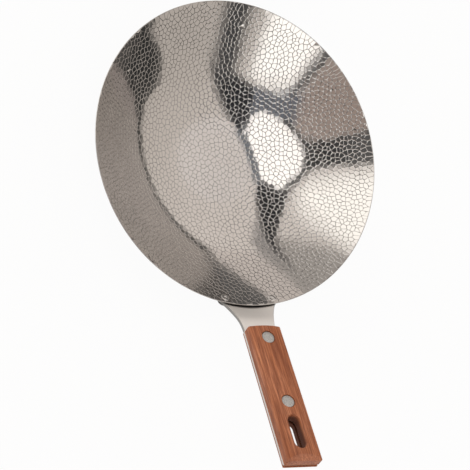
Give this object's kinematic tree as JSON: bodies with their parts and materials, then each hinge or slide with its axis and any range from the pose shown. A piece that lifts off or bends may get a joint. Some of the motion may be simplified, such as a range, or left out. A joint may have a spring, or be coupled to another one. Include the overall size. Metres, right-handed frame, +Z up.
{
  "type": "frying pan",
  "caption": "Flared steel frying pan with a pebble-embossed cooking surface and a riveted, rising wooden handle with a hanging slot.",
  "frame": {"origin": "centre of the flat base, on the surface that the pan stands on", "axes": "+Z up out of the pan, +X from the pan's axis along the handle, +Y to the right seen from the handle towards the pan"},
  "size_m": [0.364, 0.24, 0.1126],
  "materials": {
    "pan_steel": "polished pebble emboss inside, satin outside",
    "plate_steel": "fine satin",
    "wood": "oiled, straight reddish grain",
    "rivet_steel": "matte flat heads"
  },
  "bodies": {
    "root": {"pan_body": "pan_steel", "handle_plate": "plate_steel", "upper_scale": "wood", "lower_scale": "wood", "front_rivet_upper": "rivet_steel", "front_rivet_lower": "rivet_steel", "rear_rivet_upper": "rivet_steel", "rear_rivet_lower": "rivet_steel", "wall_rivet_left": "rivet_steel", "wall_rivet_right": "rivet_steel"}
  },
  "joints": []
}
